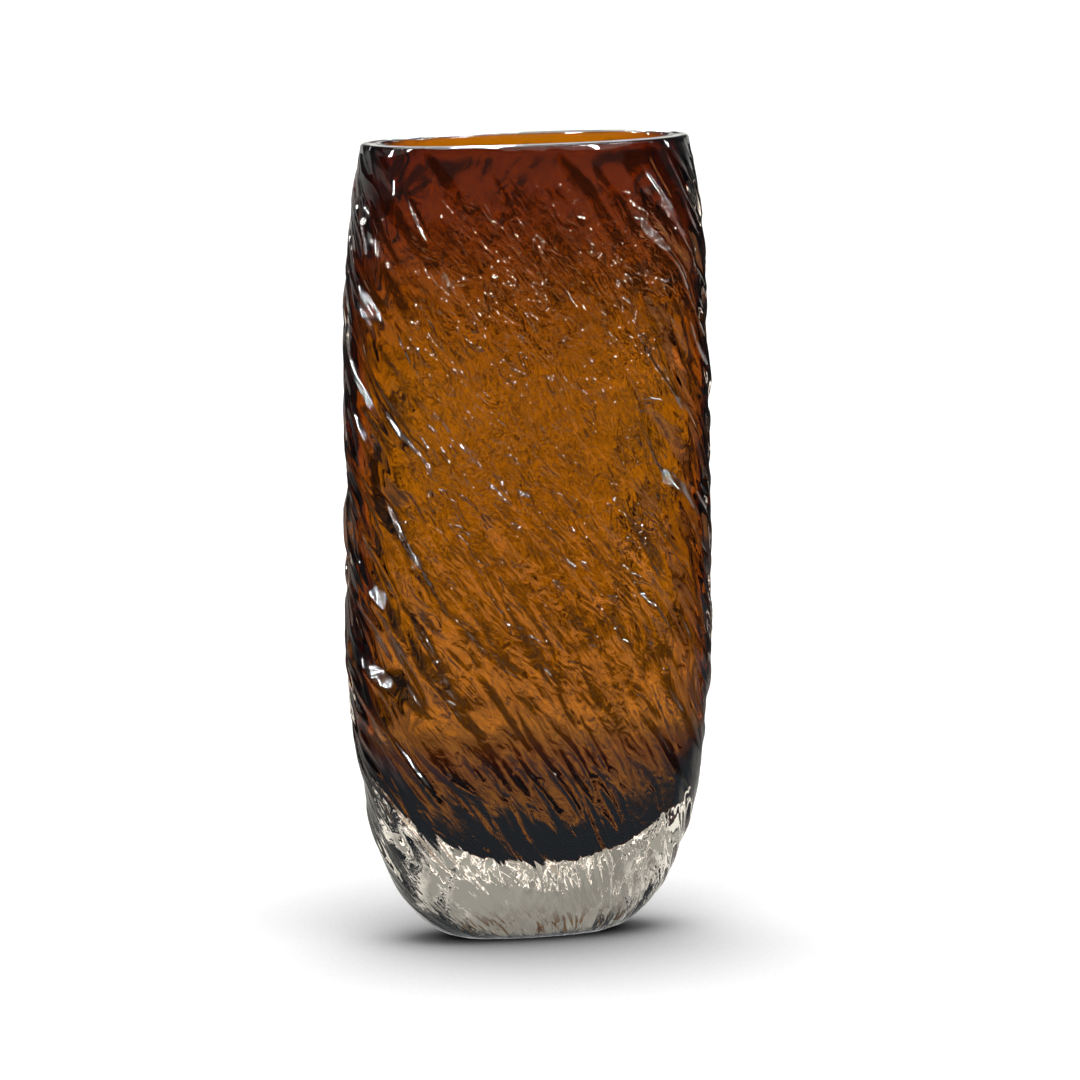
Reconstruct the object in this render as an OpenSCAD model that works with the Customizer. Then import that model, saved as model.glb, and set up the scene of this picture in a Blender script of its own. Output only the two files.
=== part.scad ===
// Hand blown vase of cased glass, flattened to an oval while hot.
// A coloured inner gather holds the cavity, and a thick clear outer gather is sealed round it.
// The rim and the foot are ground flat, so both layers end in the plane of the rim.
// Millimetres, +Z up, origin at the centre of the flat foot, width along X and depth along Y.

/* [Outside form] */
// Height from the flat foot to the flat rim
height = 250; // [210:1:320]
// Greatest width of the body, side to side
body_w = 117; // [106:1:140]
// Greatest depth of the body, front to back
body_d = 48; // [40:1:60]
// Width of the rim, outside
rim_w = 104; // [90:1:115]
// Width of the flat ground foot
foot_w = 47; // [30:1:80]
// Height of the upright edge that grinding leaves round the foot
foot_edge_h = 0.4; // [0.2:0.1:1.5]
// Height over which the body swells from the foot to the full width
foot_swell_h = 100; // [75:1:120]
// Height at which the body starts to draw in towards the rim
shoulder_z = 180; // [125:1:190]
// Width of the bevel on the rim's outer and inner edges
rim_bevel = 0.6; // [0.2:0.1:1]

/* [Glass layers] */
// Thickness of the clear casing round the body
casing_t = 4.6; // [3:0.1:6]
// Thickness of the clear glass under the coloured glass, at the centre
clear_base_t = 24; // [15:1:30]
// Thickness of the coloured glass round the body
colour_t = 0.9; // [0.6:0.1:2]
// Thickness of the coloured glass at the rim, where it gathers
colour_rim_t = 2; // [0.6:0.1:2.5]
// Thickness of the coloured glass under the cavity, at the centre
colour_base_t = 10; // [8:1:20]
// Height over which the coloured glass rounds out from its bottom
colour_swell_h = 46; // [40:1:48]
// Height over which the cavity rounds out from its floor
cavity_swell_h = 34; // [31:1:45]

/* [Hidden] */

// How far a form runs past the flat cuts at the rim and the foot
past_cut = 2;
// Straight steps in each curve of an outline
swell_steps = 20;
draw_in_steps = 10;
// Facets round an oval, for the preview
round_fn = 128;

// Every layer is thinner than the body by the same amount on all sides,
// so each oval surface has its own ratio of depth to width.
wall_t = casing_t + colour_t;
outer_ratio = body_d / body_w;
core_ratio = (body_d - 2 * casing_t) / (body_w - 2 * casing_t);
cavity_ratio = (body_d - 2 * wall_t) / (body_w - 2 * wall_t);

// Half widths of the coloured core and of the cavity, on the body and at the rim
core_r = body_w / 2 - casing_t;
core_rim_r = rim_w / 2 - casing_t;
cavity_r = body_w / 2 - wall_t;
cavity_rim_r = rim_w / 2 - casing_t - colour_rim_t;
cavity_z = clear_base_t + colour_base_t;

// A quarter of an ellipse from a flat or pointed start out to the full half width
function swell(start_r, full_r, start_z, rise) = [
    for (i = [0 : swell_steps])
        let (a = 90 * i / swell_steps)
            [start_r + (full_r - start_r) * sin(a), start_z + rise * (1 - cos(a))]
];

// A stretch of parabola from the shoulder in to the rim
function draw_in(full_r, rim_r, end_z) = [
    for (i = [0 : draw_in_steps])
        let (t = i / draw_in_steps)
            [full_r - (full_r - rim_r) * t * t, shoulder_z + (end_z - shoulder_z) * t]
];

// Turns half an outline about Z in four quarters, each flattened front to back
module oval_form(half_outline, ratio) {
    for (turn = [0 : 90 : 270])
        scale([1, ratio, 1])
            rotate_extrude(angle = 90, start = turn, $fn = round_fn)
                polygon(half_outline);
}

// Keeps what lies between the foot's and the rim's flat cuts
module ground_flat() {
    intersection() {
        children();
        translate([-body_w, -body_d, 0])
            cube([2 * body_w, 2 * body_d, height]);
    }
}

// The outside of the vase, before it is ground flat
module outside_form() {
    top_z = height - rim_bevel;
    oval_form(
        concat(
            [[0, -past_cut], [foot_w / 2, -past_cut]],
            swell(foot_w / 2, body_w / 2, foot_edge_h, foot_swell_h),
            draw_in(body_w / 2, rim_w / 2, top_z),
            [
                [rim_w / 2 - rim_bevel - past_cut, height + past_cut],
                [0, height + past_cut]
            ]
        ),
        outer_ratio
    );
}

// The coloured gather with its cavity filled in, run past the rim
module core_form() {
    oval_form(
        concat(
            swell(0, core_r, clear_base_t, colour_swell_h),
            draw_in(core_r, core_rim_r, height),
            [[core_rim_r, height + past_cut], [0, height + past_cut]]
        ),
        core_ratio
    );
}

// The space that holds water and stems, with its mouth bevelled
module cavity_form() {
    top_z = height - rim_bevel;
    oval_form(
        concat(
            swell(0, cavity_r, cavity_z, cavity_swell_h),
            draw_in(cavity_r, cavity_rim_r, top_z),
            [
                [cavity_rim_r + rim_bevel + past_cut, height + past_cut],
                [0, height + past_cut]
            ]
        ),
        cavity_ratio
    );
}

// The clear outer gather: a heavy base and a thick wall round the colour
module clear_casing() {
    color([0.78, 0.76, 0.70, 0.45])
        ground_flat()
            difference() {
                outside_form();
                core_form();
            }
}

// The amber inner gather: thick under the cavity, thin on the wall, thicker at the rim
module amber_liner() {
    color([0.60, 0.32, 0.05, 0.85])
        ground_flat()
            difference() {
                core_form();
                cavity_form();
            }
}

clear_casing();
amber_liner();
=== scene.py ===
"""Looks for a hand blown vase of cased glass: a bark-textured clear casing round an amber liner.

Both layers are rebuilt as fine closed meshes in the frame of the CAD model. The rows of each
mesh are ovals stacked up Z, and the casing's columns run along the bark's slanting ridges.
"""
import math

import bmesh
import bpy
import numpy as np
from mathutils import Matrix, Vector


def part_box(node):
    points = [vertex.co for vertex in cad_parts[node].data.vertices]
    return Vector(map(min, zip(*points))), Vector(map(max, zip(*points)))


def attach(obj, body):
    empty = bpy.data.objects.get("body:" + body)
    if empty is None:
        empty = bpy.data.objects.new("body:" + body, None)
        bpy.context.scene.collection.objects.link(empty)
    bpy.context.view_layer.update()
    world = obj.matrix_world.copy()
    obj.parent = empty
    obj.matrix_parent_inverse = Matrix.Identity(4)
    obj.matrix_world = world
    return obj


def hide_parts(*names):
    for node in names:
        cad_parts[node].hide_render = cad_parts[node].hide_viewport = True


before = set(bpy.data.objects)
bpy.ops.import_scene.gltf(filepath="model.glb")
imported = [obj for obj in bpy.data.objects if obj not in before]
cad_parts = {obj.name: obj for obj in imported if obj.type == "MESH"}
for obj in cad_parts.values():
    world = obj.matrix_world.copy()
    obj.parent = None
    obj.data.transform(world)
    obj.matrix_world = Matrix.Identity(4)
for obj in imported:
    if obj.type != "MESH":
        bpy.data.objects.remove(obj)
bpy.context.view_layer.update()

MM = 0.001


# ---------------------------------------------------------------- sizes from the frame
_, casing_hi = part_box("clear_casing")
liner_lo, liner_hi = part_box("amber_liner")

HEIGHT = casing_hi[2]
BODY_HALF_W = casing_hi[0]
BODY_HALF_D = casing_hi[1]
CORE_HALF_W = liner_hi[0]
CORE_HALF_D = liner_hi[1]
CORE_BOTTOM = liner_lo[2]

# The outline up the side: flat foot, elliptical swell, upright body, parabola in to the rim
FOOT_HALF_W = 23.5 * MM
FOOT_EDGE_H = 0.4 * MM
FOOT_SWELL_H = 100.0 * MM
SHOULDER_Z = 180.0 * MM
RIM_HALF_W = 52.0 * MM
RIM_BEVEL = 0.6 * MM
CORE_RIM_HALF_W = 47.4 * MM
CORE_SWELL_H = 46.0 * MM
COLOUR_T = 0.9 * MM
COLOUR_RIM_T = 2.0 * MM
CAVITY_Z = 34.0 * MM
CAVITY_SWELL_H = 34.0 * MM

# The section is a little squarer than an ellipse: |x/a|^n + |y/b|^n = 1
SECTION_POWER = 2.3

# The thinnest that the bark relief leaves the clear casing, and how softly it is held there
LEAST_CASING = 0.8 * MM
CASING_EASE = 0.25 * MM

# Gap between the two layers' meeting surfaces, so that a ray meets them one at a time
SEAM_GAP = 0.02 * MM


# ---------------------------------------------------------------- camera
# Angles in degrees: turn is round from the front and rise is up
CAMERA_TURN = -15.0
CAMERA_RISE = 9.0
CAMERA_ROLL = -0.54
CAMERA_DISTANCE = 2.354
CAMERA_TARGET = Vector((0.0, 0.0, 0.1244))
SENSOR_WIDTH = 36.0
LENS = 251.8
LENS_SHIFT = 0.0101


def towards(turn, rise):
    """The direction turn degrees round from the front and rise degrees up."""
    turn, rise = math.radians(turn), math.radians(rise)
    flat = math.cos(rise)
    return math.sin(turn) * flat, -math.cos(turn) * flat, math.sin(rise)


def make_camera():
    """A long lens a little above the rim, turned so that the vase's right end is farther away."""
    cam = bpy.data.cameras.new("camera")
    cam.sensor_width = SENSOR_WIDTH
    cam.lens = LENS
    cam.shift_x = LENS_SHIFT
    cam.clip_start, cam.clip_end = 0.05, 60.0
    obj = bpy.data.objects.new("camera", cam)
    bpy.context.scene.collection.objects.link(obj)
    back = Vector(towards(CAMERA_TURN, CAMERA_RISE))
    obj.location = CAMERA_TARGET + back * CAMERA_DISTANCE
    roll = Matrix.Rotation(math.radians(CAMERA_ROLL), 4, "Z")
    turn = (-back).to_track_quat("-Z", "Y").to_matrix().to_4x4()
    obj.rotation_euler = (turn @ roll).to_euler()
    bpy.context.scene.camera = obj


make_camera()


# ---------------------------------------------------------------- noise
# The noise repeats after this many units, and its gain brings it to about -1 to 1
PERIOD = 32
NOISE_GAIN = 1.6

rng = np.random.default_rng(11)
LATTICE = rng.normal(size=(PERIOD, PERIOD, PERIOD, 3))
LATTICE /= np.linalg.norm(LATTICE, axis=-1, keepdims=True)


def noise(points):
    """Gradient noise at an array of points."""
    base = np.floor(points).astype(int)
    t = points - base
    fade = t * t * t * (t * (t * 6 - 15) + 10)
    total = np.zeros(points.shape[:-1])
    for corner in np.ndindex(2, 2, 2):
        offset = np.array(corner)
        cell = (base + offset) % PERIOD
        gradient = LATTICE[cell[..., 0], cell[..., 1], cell[..., 2]]
        dot = ((t - offset) * gradient).sum(-1)
        weight = np.where(offset == 1, fade, 1 - fade).prod(-1)
        total += weight * dot
    return total * NOISE_GAIN


def smoothstep(low, high, x):
    """A smooth step from 0 at low to 1 at high."""
    t = np.clip((x - low) / (high - low), 0.0, 1.0)
    return t * t * (3 - 2 * t)


# ---------------------------------------------------------------- forms
def swell(start, full, start_z, rise, z):
    """Half width of the elliptical swell from a bottom at start_z."""
    t = np.clip((z - start_z) / rise, 0.0, 1.0)
    return start + (full - start) * np.sqrt(np.clip(1 - (1 - t) ** 2, 0.0, 1.0))


def draw_in(full, rim, z):
    """How much narrower than full the parabola towards the rim is at z."""
    t = np.clip((z - SHOULDER_Z) / (HEIGHT - SHOULDER_Z), 0.0, 1.0)
    return (full - rim) * t * t


def outer_half_w(z):
    full = swell(FOOT_HALF_W, BODY_HALF_W, FOOT_EDGE_H, FOOT_SWELL_H, z)
    return full - draw_in(BODY_HALF_W, RIM_HALF_W, z)


def core_half_w(z):
    full = swell(0.0, CORE_HALF_W, CORE_BOTTOM, CORE_SWELL_H, z)
    return full - draw_in(CORE_HALF_W, CORE_RIM_HALF_W, z)


CAVITY_HALF_W = CORE_HALF_W - COLOUR_T
CAVITY_RIM_HALF_W = CORE_RIM_HALF_W - COLOUR_RIM_T


def cavity_half_w(z):
    full = swell(0.0, CAVITY_HALF_W, CAVITY_Z, CAVITY_SWELL_H, z)
    return full - draw_in(CAVITY_HALF_W, CAVITY_RIM_HALF_W, z)


# How far the coloured gather sits off centre low down, and the heights between which it comes back
GATHER_OFF = 2.0 * MM
GATHER_CENTRES = (0.040, 0.140)


def gather_x(z):
    """How far towards +X the coloured gather and its cavity sit."""
    return GATHER_OFF * (1.0 - smoothstep(*GATHER_CENTRES, z))


OUTER_RATIO = BODY_HALF_D / BODY_HALF_W
CORE_RATIO = CORE_HALF_D / CORE_HALF_W
CAVITY_RATIO = (CORE_HALF_D - COLOUR_T) / CAVITY_HALF_W


SECTION_STEPS = 4096


def section_table():
    """The mid-height oval as unit directions against the share of its girth, measured from +X."""
    t = np.linspace(0, 2 * math.pi, SECTION_STEPS + 1)
    c, s = np.cos(t), np.sin(t)
    x = np.sign(c) * np.abs(c) ** (2 / SECTION_POWER)
    y = np.sign(s) * np.abs(s) ** (2 / SECTION_POWER)
    length = np.concatenate([[0], np.cumsum(np.hypot(np.diff(x), OUTER_RATIO * np.diff(y)))])
    return length / length[-1], x, y


SHARES, UNIT_X, UNIT_Y = section_table()


def unit_at(share):
    """Unit directions round the section at these shares of its girth."""
    share = np.mod(share, 1.0)
    return np.stack([np.interp(share, SHARES, UNIT_X), np.interp(share, SHARES, UNIT_Y)], -1)


GIRTH = 283.0 * MM
# How far the ridges run round for each metre that they climb
LEAN = -0.55
TWIST_STEPS = 500


def twist_table():
    """Heights against the share of the girth that a ridge runs round while it climbs to them."""
    heights = np.linspace(0.0, HEIGHT, TWIST_STEPS + 1)
    narrow = outer_half_w(heights) / BODY_HALF_W
    steps = np.diff(heights) / (0.5 * (narrow[1:] + narrow[:-1]))
    return heights, LEAN / GIRTH * np.concatenate([[0], np.cumsum(steps)])


TWIST_Z, TWIST = twist_table()


def twist(z):
    """The share of the girth that a ridge has run round by height z."""
    return np.interp(z, TWIST_Z, TWIST)


def wrapped(share, z, along):
    """Noise coordinates on the wall: round the girth without a seam, drawn out along the ridges.

    share is the way round, 0 to 1; along is how many times longer than wide a feature is."""
    angle = 2 * math.pi * (share - twist(z))
    r = GIRTH / (2 * math.pi)
    return np.stack([r * np.cos(angle), r * np.sin(angle), z / along], -1)


def crest(n, width):
    """A narrow rounded ridge along the lines where n crosses zero, 1 at its top."""
    return 1.0 / (1.0 + (n / width) ** 2)


# Layers of the bark's noise: metres across a feature, how many times longer than wide it is,
# and an offset that gives each layer its own part of the noise
SWAY = (0.0240, 1.2, 0.0)
WAVER = (0.0085, 2.0, 5.0)
FOLDS = (0.0095, 3.6, 3.0)
DENTS = (0.0098, 3.2, 7.0)
RIDGES = (0.0060, 3.2, 9.0)
FINE_RIDGES = (0.0040, 4.5, 13.0)
GOUGES = (0.0074, 4.5, 17.0)
# How far the first two push the ridges sideways, in metres
SWAY_REACH, WAVER_REACH = 0.0034, 0.0011
# Noise levels between which a dent and a gouge deepen, and the ridges' widths in noise
DENT_EDGE = (-0.02, 0.50)
GOUGE_EDGE = (0.22, 0.40)
RIDGE_WIDTH, FINE_WIDTH = 0.27, 0.28

# Millimetres of relief, and what the sides or the lower body add to them
FOLD_H, FOLD_H_SIDES = 0.55, 0.60
DENT_H, DENT_H_SIDES = 0.45, 1.70
RIDGE_H, RIDGE_H_LOW = 0.15, 0.50
GOUGE_H, FINE_H = 0.85, 0.85
# How far the ridges' and the fine ridges' zero lies above their feet, and the lift of the whole
RIDGE_ZERO, FINE_ZERO, LIFT = 0.45, 1.0, 0.20
# How far out the base swells
FULLNESS = 1.1

# Share of its strength that each keeps by the foot
SIDES_BY_FOOT, GOUGES_BY_FOOT, ENDS_BY_FOOT, ALL_BY_FOOT = 0.20, 0.15, 0.30, 0.45
# Share of its strength that the relief loses by the rim, the sides' part of it loses at the very
# ends, and the ridges lose at the sides of the base
RIM_LOSS, SIDES_LOSS, CALM_LOSS = 0.85, 0.80, 0.55

# Shares of the half width between which each change comes in towards the ends of the oval
SIDES = (0.45, 0.75)
SIDES_EASE = (0.94, 0.995)
GOUGED = (0.55, 0.75)
ENDS = (0.84, 0.95)
CALM = (0.40, 0.70)
# Heights in metres between which the relief changes
FOOT_TO_BODY = (0.045, 0.080)
RIDGES_WEAKEN = (0.09, 0.19)
RIM_SMOOTHS = (HEIGHT - 0.014, HEIGHT - 0.001)
FOOT_ROUGHENS = (0.006, 0.028)
FULL_RISES = (0.002, 0.016)
FULL_FALLS = (0.035, 0.070)


def layer(share, z, kind):
    """One layer of the bark's noise."""
    width, along, offset = kind
    return noise(wrapped(share, z, along) / width + offset)


def at_least(share, x):
    """x, from 0 to 1, brought up so that it starts at share."""
    return share + (1.0 - share) * x


def bark(share, z):
    """Height of the bark relief in metres.

    The ridges wander as they climb. The relief is deeper at the sides of the body, has fine
    ridges at its ends, and is lower by the rim and the foot. The base swells a little."""
    share = share + SWAY_REACH * layer(share, z, SWAY) / GIRTH
    share = share + WAVER_REACH * layer(share, z, WAVER) / GIRTH
    aside = np.abs(unit_at(share)[:, 0])
    on_body = smoothstep(*FOOT_TO_BODY, z)
    low = 1.0 - smoothstep(*RIDGES_WEAKEN, z)
    sides = smoothstep(*SIDES, aside) * (1.0 - SIDES_LOSS * smoothstep(*SIDES_EASE, aside))
    sides = sides * at_least(SIDES_BY_FOOT, on_body)

    folds = layer(share, z, FOLDS)
    dents = smoothstep(*DENT_EDGE, layer(share, z, DENTS))
    height = (FOLD_H + FOLD_H_SIDES * sides) * folds - (DENT_H + DENT_H_SIDES * sides) * dents

    ridges = crest(layer(share, z, RIDGES), RIDGE_WIDTH) - RIDGE_ZERO
    calm = 1.0 - CALM_LOSS * (1.0 - on_body) * smoothstep(*CALM, aside)
    height += (RIDGE_H + RIDGE_H_LOW * low * calm) * ridges + LIFT

    gouges = smoothstep(*GOUGE_EDGE, layer(share, z, GOUGES))
    gouged = at_least(GOUGES_BY_FOOT, on_body)
    height -= GOUGE_H * smoothstep(*GOUGED, aside) * gouged * gouges

    fine = FINE_H * crest(layer(share, z, FINE_RIDGES), FINE_WIDTH) - FINE_ZERO
    height += smoothstep(*ENDS, aside) * at_least(ENDS_BY_FOOT, on_body) * fine

    near_rim = 1.0 - RIM_LOSS * smoothstep(*RIM_SMOOTHS, z)
    near_foot = at_least(ALL_BY_FOOT, smoothstep(*FOOT_ROUGHENS, z))
    fullness = FULLNESS * smoothstep(*FULL_RISES, z) * (1.0 - smoothstep(*FULL_FALLS, z))
    return (height * near_rim * near_foot + fullness) * MM


# ---------------------------------------------------------------- meshes
def ring_points(unit, half_w, ratio, z, push=0.0):
    """Points of an oval of half width half_w, moved outwards along the wall's normal by push."""
    a, b = half_w, half_w * ratio
    x, y = unit[:, 0] * a, unit[:, 1] * b
    n = SECTION_POWER
    nx = np.sign(x) * (np.abs(x) / max(a, 1e-6)) ** (n - 1) / max(a, 1e-6)
    ny = np.sign(y) * (np.abs(y) / max(b, 1e-6)) ** (n - 1) / max(b, 1e-6)
    size = np.hypot(nx, ny) + 1e-12
    return np.stack([x + push * nx / size, y + push * ny / size, np.full_like(x, 1.0) * z], -1)


def gather_ring(unit, half_w, ratio, z, push=0.0):
    """An oval of the coloured gather or its cavity."""
    ring = ring_points(unit, half_w, ratio, z, push)
    ring[:, 0] += gather_x(z)
    return ring


def kept_clear(push, unit, z):
    """The relief, eased off where it would come nearer to the amber than LEAST_CASING."""
    half_w = float(outer_half_w(z))
    outside = ring_points(unit, half_w, OUTER_RATIO, z)
    normal = ring_points(unit, half_w, OUTER_RATIO, z, 1.0) - outside
    core = gather_ring(unit, float(core_half_w(z)), CORE_RATIO, z)
    deepest = LEAST_CASING - ((outside - core) * normal).sum(-1)
    return deepest + CASING_EASE * np.logaddexp(0.0, (push - deepest) / CASING_EASE)


class Skin:
    """A mesh made of rings of equal count, joined by quads, with a material index per band."""

    def __init__(self, name, count):
        self.name, self.count = name, count
        self.points, self.faces, self.slots, self.grain = [], [], [], []

    def ring(self, points, grain=None):
        """Adds a ring of points; the grain is where each lies in the noise of the material."""
        first = len(self.points)
        self.points.extend(points.tolist())
        self.grain.extend((points if grain is None else grain).tolist())
        return first

    def band(self, low, high, slot):
        """Joins two rings with quads."""
        n = self.count
        for i in range(n):
            j = (i + 1) % n
            self.faces.append((low + i, low + j, high + j, high + i))
            self.slots.append(slot)

    def tip(self, ring, point, slot, faces_down):
        """Closes a ring with triangles to one point."""
        self.points.append(list(point))
        self.grain.append(list(point))
        centre = len(self.points) - 1
        n = self.count
        for i in range(n):
            first, second = ring + i, ring + (i + 1) % n
            if faces_down:
                first, second = second, first
            self.faces.append((first, second, centre))
            self.slots.append(slot)

    def object(self, materials):
        """The finished mesh as a smooth shaded object."""
        mesh = bpy.data.meshes.new(self.name)
        mesh.from_pydata(self.points, [], self.faces)
        mesh.polygons.foreach_set("material_index", self.slots)
        mesh.polygons.foreach_set("use_smooth", [True] * len(self.faces))
        for m in materials:
            mesh.materials.append(m)
        grain = mesh.attributes.new("grain", "FLOAT_VECTOR", "POINT")
        grain.data.foreach_set("vector", np.array(self.grain).ravel())
        mesh.update()
        obj = bpy.data.objects.new(self.name, mesh)
        bpy.context.scene.collection.objects.link(obj)
        return obj


def bowl_rows(bottom, rise, top, in_bowl, above):
    """Heights up a bowl, closer together near its bottom, and then evenly up to top."""
    turn = np.linspace(0, math.pi / 2, in_bowl + 1)[1:]
    bowl = bottom + rise * (1 - np.cos(turn))
    return np.concatenate([bowl, np.linspace(bottom + rise, top, above + 1)[1:]])


def z_rows(low, high, count, swell_share):
    """count heights from low to high; swell_share bends them towards low, as a swell needs."""
    t = np.linspace(0, 1, count)
    return low + (high - low) * ((1 - swell_share) * t + swell_share * t * t)


CASING_COLUMNS, CASING_ROWS = 528, 145
LINER_COLUMNS = 256
CASING_BEND = 0.3
# Rows in the bowl and in the wall above it, on the casing's inside and on both sides of the liner
SEAM_ROWS = (20, 18)
LINER_ROWS = (30, 40)
# Which of the casing's materials a face has
OUTSIDE, SEALED = 0, 1


def make_casing(materials):
    """The clear layer: the bark outside, the lip, and the smooth bowl that the liner fills."""
    count = CASING_COLUMNS
    skin = Skin("vase_casing", count)
    start = np.arange(count) / count
    previous = None
    first = None
    for z in z_rows(0.0, HEIGHT - RIM_BEVEL, CASING_ROWS, CASING_BEND):
        share = start + twist(z)
        unit = unit_at(share)
        push = kept_clear(bark(share, np.full(count, z)), unit, z)
        grain = wrapped(share, np.full(count, z), 1.0)
        half_w = float(outer_half_w(z))
        ring = skin.ring(ring_points(unit, half_w, OUTER_RATIO, z, push), grain)
        if previous is not None:
            skin.band(previous, ring, OUTSIDE)
        else:
            first = ring
        previous = ring
    lip_half_w = float(outer_half_w(HEIGHT)) - RIM_BEVEL
    lip = skin.ring(ring_points(unit, lip_half_w, OUTER_RATIO, HEIGHT))
    skin.band(previous, lip, OUTSIDE)
    inner = skin.ring(gather_ring(unit, float(core_half_w(HEIGHT)), CORE_RATIO, HEIGHT))
    skin.band(lip, inner, OUTSIDE)
    previous = inner
    for z in bowl_rows(CORE_BOTTOM, CORE_SWELL_H, HEIGHT, *SEAM_ROWS)[:-1][::-1]:
        ring = skin.ring(gather_ring(unit, float(core_half_w(z)), CORE_RATIO, z))
        skin.band(previous, ring, SEALED)
        previous = ring
    skin.tip(previous, (gather_x(CORE_BOTTOM), 0, CORE_BOTTOM), SEALED, False)
    skin.tip(first, (0, 0, 0), OUTSIDE, True)
    return skin.object(materials)


def make_liner(material):
    """The amber layer: its sealed outside first, then the lip and the open cavity."""
    count = LINER_COLUMNS
    skin = Skin("vase_liner", count)
    unit = unit_at(np.arange(count) / count)
    previous = None
    for z in bowl_rows(CORE_BOTTOM, CORE_SWELL_H, HEIGHT, *LINER_ROWS):
        ring = skin.ring(gather_ring(unit, float(core_half_w(z)), CORE_RATIO, z, -SEAM_GAP))
        if previous is None:
            skin.tip(ring, (gather_x(CORE_BOTTOM), 0, CORE_BOTTOM + SEAM_GAP), 0, True)
        else:
            skin.band(previous, ring, 0)
        previous = ring
    sealed = len(skin.faces)
    lip_half_w = float(cavity_half_w(HEIGHT)) + RIM_BEVEL
    lip = skin.ring(gather_ring(unit, lip_half_w, CAVITY_RATIO, HEIGHT))
    skin.band(previous, lip, 0)
    previous = lip
    for z in bowl_rows(CAVITY_Z, CAVITY_SWELL_H, HEIGHT - RIM_BEVEL, *LINER_ROWS)[::-1]:
        ring = skin.ring(gather_ring(unit, float(cavity_half_w(z)), CAVITY_RATIO, z))
        skin.band(previous, ring, 0)
        previous = ring
    skin.tip(previous, (gather_x(CAVITY_Z), 0, CAVITY_Z), 0, False)
    obj = skin.object([material])
    open_glass = obj.data.attributes.new("open_glass", "FLOAT", "FACE")
    open_glass.data.foreach_set("value", [0.0] * sealed + [1.0] * (len(skin.faces) - sealed))
    return obj


# ---------------------------------------------------------------- materials
GLASS_IOR = 1.5


def new_material(name):
    mat = bpy.data.materials.new(name)
    mat.use_nodes = True
    nodes = mat.node_tree.nodes
    nodes.clear()
    out = nodes.new("ShaderNodeOutputMaterial")
    return mat, nodes, mat.node_tree.links, out


def mix_colour(nodes, links, factor, first, second):
    """A colour mix; factor is a socket, and first and second are sockets or three numbers."""
    mix = nodes.new("ShaderNodeMix")
    mix.data_type = "RGBA"
    links.new(factor, mix.inputs["Factor"])
    for value, socket in ((first, mix.inputs["A"]), (second, mix.inputs["B"])):
        if isinstance(value, tuple):
            socket.default_value = (*value, 1)
        else:
            links.new(value, socket)
    return mix.outputs["Result"]


def ramp(nodes, links, source, low, high, kind="SMOOTHSTEP"):
    """A step from 0 at low to 1 at high."""
    step = nodes.new("ShaderNodeMapRange")
    step.interpolation_type = kind
    step.inputs["From Min"].default_value = low
    step.inputs["From Max"].default_value = high
    links.new(source, step.inputs["Value"])
    return step.outputs["Result"]


def grain_noise(nodes, links, vector, scale, distortion):
    """One smooth octave of noise, 0 to 1, swirled by the distortion."""
    tex = nodes.new("ShaderNodeTexNoise")
    tex.inputs["Scale"].default_value = scale
    tex.inputs["Detail"].default_value = 0.0
    tex.inputs["Distortion"].default_value = distortion
    links.new(vector, tex.inputs["Vector"])
    return tex.outputs["Fac"]


def calc(nodes, links, operation, *values):
    """A Math node; each value is a socket or a number."""
    node = nodes.new("ShaderNodeMath")
    node.operation = operation
    for value, socket in zip(values, node.inputs):
        if isinstance(value, float):
            socket.default_value = value
        else:
            links.new(value, socket)
    return node.outputs[0]


def axes_of(nodes, links, vector):
    """The X, Y and Z of a vector."""
    split = nodes.new("ShaderNodeSeparateXYZ")
    links.new(vector, split.inputs[0])
    return split.outputs[0], split.outputs[1], split.outputs[2]


def vector_calc(nodes, links, operation, vector, other):
    """A Vector Math node between a socket and three numbers."""
    node = nodes.new("ShaderNodeVectorMath")
    node.operation = operation
    links.new(vector, node.inputs[0])
    node.inputs[1].default_value = other
    return node


def smooth_glass(nodes):
    """A clear polished glass, before its tint."""
    glass = nodes.new("ShaderNodeBsdfPrincipled")
    glass.inputs["Transmission Weight"].default_value = 1.0
    glass.inputs["Roughness"].default_value = 0.0
    glass.inputs["IOR"].default_value = GLASS_IOR
    return glass


# Fine noise on the casing: its scale, and how far it is swirled
WRINKLES = (210.0, 2.2)
LINES = (330.0, 1.4)
BEADS = (270.0, 0.8)
REFLECTION_SPOTS = (260.0, 1.2)
# The noise is stretched up the wall
STRETCH = (1.0, 1.0, 0.6)
# Noise levels between which a line, a bead and a spot of painted reflection come in
LINE_EDGE = (0.11, 0.0)
BEAD_EDGE = (0.64, 0.78)
REFLECTION_SPOT_EDGE = (0.59, 0.63)
LINE_HEIGHT = 0.12
WRINKLE_DEPTH = 0.00045
# Where the wrinkles strengthen and fade: up from the base, towards the rim, and in from the ends
WRINKLES_LIFT = (0.03, 0.17)
WRINKLES_BY_RIM = (HEIGHT - 0.001, HEIGHT - 0.045)
WRINKLES_INWARD = (0.054, 0.034)
BASE_WRINKLES = 0.25
# Heights between which the brown spots by the foot, a painted reflection of the amber, come in
REFLECTION_SPOTS_BY_FOOT = (0.013, 0.005)
CLEAR_TINT = (0.97, 0.965, 0.94)
# The brown of a painted reflection of the amber, tinted into the clear glass by the foot
PAINTED_AMBER_REFLECTION = (0.26, 0.10, 0.02)


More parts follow.
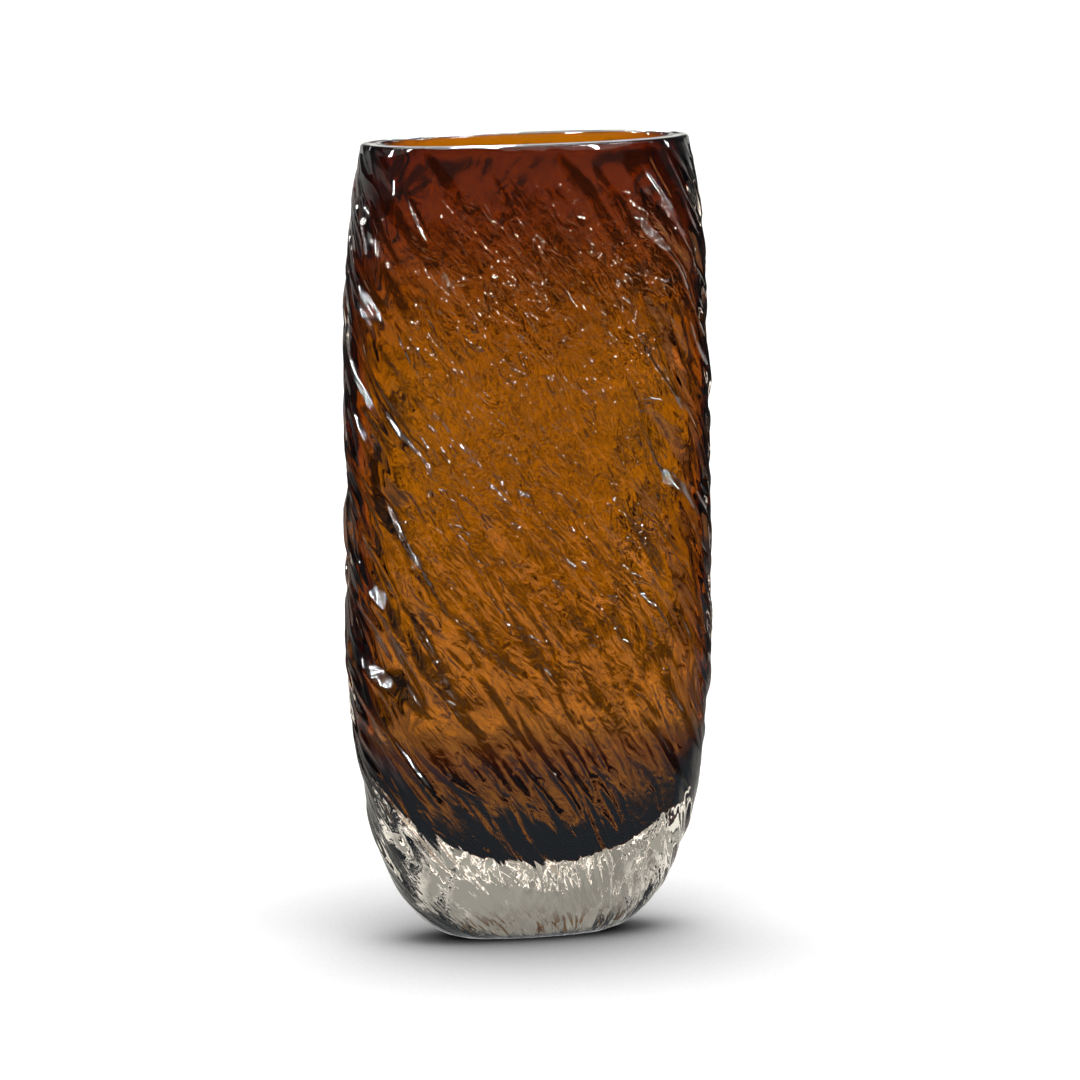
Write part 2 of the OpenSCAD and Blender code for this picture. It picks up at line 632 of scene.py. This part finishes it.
def clear_glass():
    """Clear casing. The mesh holds the bark's ridges; this adds the fine wrinkles on them, thin
    raised lines, small beads, and brown spots close to the foot that are a painted reflection
    of the amber."""
    mat, nodes, links, out = new_material("clear_glass")
    glass = smooth_glass(nodes)
    grain = nodes.new("ShaderNodeAttribute")
    grain.attribute_name = "grain"
    drawn = vector_calc(nodes, links, "MULTIPLY", grain.outputs["Vector"], STRETCH)
    along = drawn.outputs["Vector"]
    place = nodes.new("ShaderNodeTexCoord")
    x, _, z = axes_of(nodes, links, place.outputs["Object"])

    # Painted reflection: brown spots of the amber's reflection, tinted into the glass by the foot
    painted_reflection = calc(
        nodes, links, "MULTIPLY",
        ramp(nodes, links, grain_noise(nodes, links, along, *REFLECTION_SPOTS), *REFLECTION_SPOT_EDGE),
        ramp(nodes, links, z, *REFLECTION_SPOTS_BY_FOOT),
    )
    tint = mix_colour(nodes, links, painted_reflection, CLEAR_TINT, PAINTED_AMBER_REFLECTION)
    links.new(tint, glass.inputs["Base Color"])

    off_line = calc(nodes, links, "SUBTRACT", grain_noise(nodes, links, along, *LINES), 0.5)
    lines = ramp(nodes, links, calc(nodes, links, "ABSOLUTE", off_line), *LINE_EDGE)
    wrinkles = grain_noise(nodes, links, along, *WRINKLES)
    relief = calc(nodes, links, "MULTIPLY_ADD", lines, LINE_HEIGHT, wrinkles)
    beads = ramp(nodes, links, grain_noise(nodes, links, along, *BEADS), *BEAD_EDGE)
    relief = calc(nodes, links, "ADD", beads, relief)

    lift = ramp(nodes, links, z, *WRINKLES_LIFT)
    level = calc(nodes, links, "MULTIPLY_ADD", lift, 1.0 - BASE_WRINKLES, BASE_WRINKLES)
    by_rim = ramp(nodes, links, z, *WRINKLES_BY_RIM)
    aside = calc(nodes, links, "ABSOLUTE", x)
    inward = ramp(nodes, links, aside, *WRINKLES_INWARD)
    strength = calc(nodes, links, "MULTIPLY", calc(nodes, links, "MULTIPLY", level, by_rim), inward)

    bump = nodes.new("ShaderNodeBump")
    bump.inputs["Distance"].default_value = WRINKLE_DEPTH
    links.new(strength, bump.inputs["Strength"])
    links.new(relief, bump.inputs["Height"])
    links.new(bump.outputs["Normal"], glass.inputs["Normal"])
    links.new(glass.outputs[0], out.inputs["Surface"])
    return mat


def seam():
    """The casing's side of the sealed surface, where light goes straight on into the amber."""
    mat, nodes, links, out = new_material("glass_seam")
    clear = nodes.new("ShaderNodeBsdfTransparent")
    links.new(clear.outputs[0], out.inputs["Surface"])
    return mat


# The amber's surface tint on the body and by the rim, and the heights between which it changes
BODY_TINT = (0.80, 0.80, 0.80)
RIM_TINT = (0.41, 0.23, 0.80)
TINT_CHANGES = (0.160, 0.235)
# The share of each colour that the amber's depth lets by, and how strongly it absorbs
AMBER = (0.854, 0.7425, 0.10, 1)
AMBER_DENSITY = 5600.0


def amber_glass():
    """Amber that absorbs with depth, so that it darkens where the gather is thick, with a redder
    tint towards the rim. Its sealed side, where open_glass is 0, lets light straight through."""
    mat, nodes, links, out = new_material("amber_glass")
    glass = smooth_glass(nodes)
    place = nodes.new("ShaderNodeTexCoord")
    _, _, z = axes_of(nodes, links, place.outputs["Object"])
    tint = mix_colour(nodes, links, ramp(nodes, links, z, *TINT_CHANGES), BODY_TINT, RIM_TINT)
    links.new(tint, glass.inputs["Base Color"])
    mask = nodes.new("ShaderNodeAttribute")
    mask.attribute_name = "open_glass"
    links.new(mask.outputs["Fac"], glass.inputs["Alpha"])
    links.new(glass.outputs[0], out.inputs["Surface"])
    absorb = nodes.new("ShaderNodeVolumeAbsorption")
    absorb.inputs["Color"].default_value = AMBER
    absorb.inputs["Density"].default_value = AMBER_DENSITY
    links.new(absorb.outputs[0], out.inputs["Volume"])
    return mat


PIECES = (
    (make_casing([clear_glass(), seam()]), "clear_casing", "clear_glass"),
    (make_liner(amber_glass()), "amber_liner", "amber_glass"),
)
for piece, node, slot in PIECES:
    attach(piece, "root")
    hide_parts(node)


# ---------------------------------------------------------------- floor, world and lights
# Colours of what is seen through the glass. The table glows with them as painted light: a grey,
# a painted pool of light farther out, and painted black where a flag stands. The room is two
# greys in soft clouds, paler to both sides, and dark above.
GREY = (0.355, 0.335, 0.28)
PAINTED_POOL_LIGHT = (2.00, 1.74, 1.52)
PAINTED_FLAG_BLACK = (0.02, 0.02, 0.02)
DIM_GREY = (0.235, 0.215, 0.18)
PALE_GREY = (0.33, 0.31, 0.265)
SIDE_GREY = (1.05, 0.98, 0.86)
CEILING = (0.05, 0.05, 0.045)

# Colours of what the glass's surface mirrors, which the table glows with as painted reflections:
# the table far off, and by the foot in front and behind, and a painted pool of the light that
# has come through the amber on to the table
TABLE_FAR = (0.05, 0.05, 0.05)
TABLE_FRONT = (0.35, 0.40, 0.47)
TABLE_BACK = (0.85, 0.82, 0.76)
PAINTED_AMBER_LIGHT = (2.25, 0.86, 0.33)
PAINTED_AMBER_LIGHT_NEAR = (6.20, 2.30, 0.45)
# The room in front, the bright horizon behind, and the room above them
ROOM_FRONT = (0.15, 0.15, 0.16)
HORIZON = (0.95, 0.94, 0.90)
ROOM_ABOVE = (0.12, 0.12, 0.13)

# Colours to the camera: the table in the vase's painted shadow and in the open, and the
# backdrop. The last is how bright the backdrop is to the table.
PAINTED_SHADOW_GREY = (0.07, 0.07, 0.07)
IN_OPEN = (0.95, 0.95, 0.95)
BACKDROP = (1.2, 1.2, 1.2)
BACKDROP_TO_TABLE = (0.68, 0.68, 0.68)

FLOOR_RADIUS = 12.0
# A film of air under the foot, so that glass on one side and table on the other stay apart
FLOOR_GAP = 0.1 * MM
# How far the painted shadow by the foot reaches, and how strong it is
CONTACT_REACH = 0.20
CONTACT_POWER = 1.6

# Distances along the table in metres between which its look changes
POOL_BRIGHTENS = (0.34, 0.92)
POOL_DIMS = (1.75, 2.80)
FLAGS_START = (0.30, 0.42)
PALE_BY_FOOT = (0.45, 0.10)
AMBER_STARTS = (0.095, 0.25)
AMBER_ENDS = (0.50, 0.36)
AMBER_NEARER = (0.27, 0.19)
# The same along Y: from the front of the foot to its back, and out in front of the vase
FRONT_TO_BACK = (-0.03, 0.02)
IN_FRONT = (-0.06, -0.18)

# The painted black flags stand this many degrees to each side of the camera's line and of its
# opposite
FLAG_TURN = 32.1
FLAG_EDGE = (0.42, 0.33)


def flags(nodes, links, vector):
    """1 in four narrow directions round the table where a black flag is painted, and 0 elsewhere.
    """
    x, y, _ = axes_of(nodes, links, vector)
    turn = calc(nodes, links, "ARCTAN2", x, y)
    camera_turn = math.radians(CAMERA_TURN)
    twice = calc(nodes, links, "MULTIPLY_ADD", turn, 2.0, 2.0 * camera_turn)
    wave = calc(nodes, links, "COSINE", twice)
    off = calc(nodes, links, "SUBTRACT", wave, math.cos(2.0 * math.radians(FLAG_TURN)))
    return ramp(nodes, links, calc(nodes, links, "ABSOLUTE", off), *FLAG_EDGE)


def table_with_painted_shadow(nodes, links):
    """The table to the camera: white, and darker where the vase is close above it: the overhead
    light's real shadow, deepened by a painted shadow from ambient occlusion.
    """
    contact = nodes.new("ShaderNodeAmbientOcclusion")
    contact.inputs["Distance"].default_value = CONTACT_REACH
    contact.samples = 8
    # Painted shadow: ambient occlusion darkens the table's own colour close under the vase
    painted_shade = calc(nodes, links, "POWER", contact.outputs["AO"], CONTACT_POWER)
    shown = nodes.new("ShaderNodeBsdfDiffuse")
    links.new(mix_colour(nodes, links, painted_shade, PAINTED_SHADOW_GREY, IN_OPEN), shown.inputs["Color"])
    return shown.outputs[0]


def table_through(nodes, links, place, reach):
    """The table through the glass, glowing with painted light: a warm grey that brightens to a
    painted pool of light with distance, and painted black flags.
    """
    # Painted light: the table glows, brightening to a painted pool of light with distance
    painted_pool = mix_colour(nodes, links, ramp(nodes, links, reach, *POOL_BRIGHTENS, "LINEAR"), GREY, PAINTED_POOL_LIGHT)
    painted_pool = mix_colour(nodes, links, ramp(nodes, links, reach, *POOL_DIMS, "LINEAR"), painted_pool, GREY)
    clear_of_foot = ramp(nodes, links, reach, *FLAGS_START)
    # Painted shade: black patches on the glowing table where flags would stand
    flagged = calc(nodes, links, "MULTIPLY", flags(nodes, links, place), clear_of_foot)
    return mix_colour(nodes, links, flagged, painted_pool, PAINTED_FLAG_BLACK)


def table_mirrored(nodes, links, place, reach):
    """The table in the glass's surface, a painted reflection: pale by the foot, with a painted pool
    of the amber's light in front.
    """
    _, y, _ = axes_of(nodes, links, place)
    back = ramp(nodes, links, y, *FRONT_TO_BACK)
    by_foot = mix_colour(nodes, links, back, TABLE_FRONT, TABLE_BACK)
    near = ramp(nodes, links, reach, *PALE_BY_FOOT, "LINEAR")
    table = mix_colour(nodes, links, near, TABLE_FAR, by_foot)
    starts = ramp(nodes, links, reach, *AMBER_STARTS)
    ends = ramp(nodes, links, reach, *AMBER_ENDS)
    # Painted light: a pool of amber light on the table in front of the vase, seen only in the
    # glass's reflections
    patch = calc(nodes, links, "MULTIPLY", starts, ends)
    patch = calc(nodes, links, "MULTIPLY", patch, ramp(nodes, links, y, *IN_FRONT))
    nearer = ramp(nodes, links, reach, *AMBER_NEARER)
    painted_amber_pool = mix_colour(nodes, links, nearer, PAINTED_AMBER_LIGHT, PAINTED_AMBER_LIGHT_NEAR)
    return mix_colour(nodes, links, patch, table, painted_amber_pool)


def make_floor():
    """A round table that looks different to the camera, through the glass and mirrored in it. To
    the glass it glows with painted light, shade and reflections.
    """
    mesh = bpy.data.meshes.new("floor")
    made = bmesh.new()
    bmesh.ops.create_circle(made, cap_ends=True, radius=FLOOR_RADIUS, segments=96)
    made.to_mesh(mesh)
    made.free()
    floor = bpy.data.objects.new("floor", mesh)
    floor.location.z = -FLOOR_GAP
    bpy.context.scene.collection.objects.link(floor)
    mat, nodes, links, out = new_material("floor")
    place = nodes.new("ShaderNodeTexCoord").outputs["Object"]
    length = nodes.new("ShaderNodeVectorMath")
    length.operation = "LENGTH"
    links.new(place, length.inputs[0])
    reach = length.outputs["Value"]
    path = nodes.new("ShaderNodeLightPath")
    through = table_through(nodes, links, place, reach)
    mirrored = table_mirrored(nodes, links, place, reach)
    # To the glass the table glows: painted light, shade and reflections, not lit by the lamps
    colour = mix_colour(nodes, links, path.outputs["Is Reflection Ray"], through, mirrored)
    glow = nodes.new("ShaderNodeEmission")
    links.new(colour, glow.inputs["Color"])
    pick = nodes.new("ShaderNodeMixShader")
    links.new(path.outputs["Is Camera Ray"], pick.inputs[0])
    links.new(glow.outputs[0], pick.inputs[1])
    links.new(table_with_painted_shadow(nodes, links), pick.inputs[2])
    links.new(pick.outputs[0], out.inputs["Surface"])
    mesh.materials.append(mat)


# Degrees round from the front, degrees up, and brightness
SOFT_BOXES = ((32, 34, 1.3), (-62, 34, 0.6))
BOX_EDGE = (0.91, 0.94)
# The room's soft clouds: their scale, and the noise levels between which dim turns to pale
CLOUD_SCALE = 3.5
CLOUD_EDGE = (0.38, 0.62)
# Parts of a direction between which the room changes: up, towards +Y and across the camera's line
CEILING_UP = (0.57, 0.80)
HORIZON_UP = (0.12, 0.30)
HORIZON_BACK = (-0.2, 0.5)
SIDE_ACROSS = (0.30, 0.70)


def soft_box(nodes, links, direction, turn, rise):
    """1 towards a soft box and 0 elsewhere."""
    facing = vector_calc(nodes, links, "DOT_PRODUCT", direction, towards(turn, rise))
    return ramp(nodes, links, facing.outputs["Value"], *BOX_EDGE)


def room_through(nodes, links, direction, up):
    """The room through the glass: cloudy warm greys, paler to the sides, and dark above."""
    cloud = nodes.new("ShaderNodeTexNoise")
    cloud.inputs["Scale"].default_value = CLOUD_SCALE
    cloud.inputs["Detail"].default_value = 1.0
    links.new(direction, cloud.inputs["Vector"])
    clouds = ramp(nodes, links, cloud.outputs["Fac"], *CLOUD_EDGE)
    room = mix_colour(nodes, links, clouds, DIM_GREY, PALE_GREY)
    camera_turn = math.radians(CAMERA_TURN)
    right = (math.cos(camera_turn), math.sin(camera_turn), 0.0)
    across = vector_calc(nodes, links, "DOT_PRODUCT", direction, right)
    to_side = calc(nodes, links, "ABSOLUTE", across.outputs["Value"])
    room = mix_colour(nodes, links, ramp(nodes, links, to_side, *SIDE_ACROSS), room, SIDE_GREY)
    return mix_colour(nodes, links, ramp(nodes, links, up, *CEILING_UP), room, CEILING)


def room_mirrored(nodes, links, direction, back, up):
    """The room in the glass's surface: a bright horizon behind it, and two soft boxes."""
    behind = ramp(nodes, links, back, *HORIZON_BACK)
    band = mix_colour(nodes, links, behind, ROOM_FRONT, HORIZON)
    room = mix_colour(nodes, links, ramp(nodes, links, up, *HORIZON_UP), band, ROOM_ABOVE)
    for turn, rise, glow in SOFT_BOXES:
        box = soft_box(nodes, links, direction, turn, rise)
        room = mix_colour(nodes, links, box, room, (glow, 0.95 * glow, 0.90 * glow))
    return room


def make_world():
    """A white backdrop to the camera and to the table; glass sees a dim warm room instead."""
    world = bpy.data.worlds.new("studio")
    bpy.context.scene.world = world
    world.use_nodes = True
    nodes, links = world.node_tree.nodes, world.node_tree.links
    nodes.clear()
    out = nodes.new("ShaderNodeOutputWorld")
    back = nodes.new("ShaderNodeBackground")
    direction = nodes.new("ShaderNodeTexCoord").outputs["Generated"]
    _, y, z = axes_of(nodes, links, direction)
    through = room_through(nodes, links, direction, z)
    mirrored = room_mirrored(nodes, links, direction, y, z)
    path = nodes.new("ShaderNodeLightPath")
    by_glass = mix_colour(nodes, links, path.outputs["Is Reflection Ray"], through, mirrored)
    plain = mix_colour(
        nodes, links, path.outputs["Is Diffuse Ray"], BACKDROP, BACKDROP_TO_TABLE)
    seen = mix_colour(nodes, links, path.outputs["Is Glossy Ray"], plain, by_glass)
    links.new(seen, back.inputs["Color"])
    links.new(back.outputs[0], out.inputs["Surface"])


# Where each glint lamp stands: degrees round from the front, degrees up, and metres away
LAMPS = (
    (-62, 24, 1.3), (-38, 42, 1.3), (6, 48, 1.3), (28, 30, 1.3), (52, 45, 1.4),
    (75, 22, 1.4), (165, 35, 1.5), (-120, 28, 1.4),
)
# What the lamps are aimed at, their width and height in metres, and their watts
LAMP_AIM = Vector((0.0, 0.0, 0.15))
LAMP_SIZE = (0.050, 0.50)
LAMP_POWER = 14.0
SUN_STRENGTH = 2.4
SUN_SPREAD = 50.0


def add_light(name, kind):
    """A new light of this kind and its object."""
    light = bpy.data.lights.new(name, kind)
    obj = bpy.data.objects.new(name, light)
    bpy.context.scene.collection.objects.link(obj)
    return light, obj


def make_lights():
    """A soft light overhead for the shadow, and small high lamps all round for the glints."""
    sun, _ = add_light("overhead", "SUN")
    sun.energy = SUN_STRENGTH
    sun.angle = math.radians(SUN_SPREAD)
    for turn, rise, reach in LAMPS:
        lamp, obj = add_light(f"lamp_{turn}".replace("-", "m"), "AREA")
        lamp.shape = "RECTANGLE"
        lamp.size, lamp.size_y = LAMP_SIZE
        lamp.energy = LAMP_POWER
        obj.location = LAMP_AIM + Vector(towards(turn, rise)) * reach
        obj.rotation_euler = (LAMP_AIM - obj.location).to_track_quat("-Z", "Y").to_euler()
        obj.visible_transmission = False
        obj.visible_diffuse = False


make_floor()
make_world()
make_lights()

scene = bpy.context.scene
scene.view_settings.view_transform = "Standard"
scene.cycles.max_bounces = 32
scene.cycles.transmission_bounces = 32
scene.cycles.glossy_bounces = 16
scene.cycles.transparent_max_bounces = 64
scene.cycles.caustics_refractive = False
scene.cycles.caustics_reflective = False
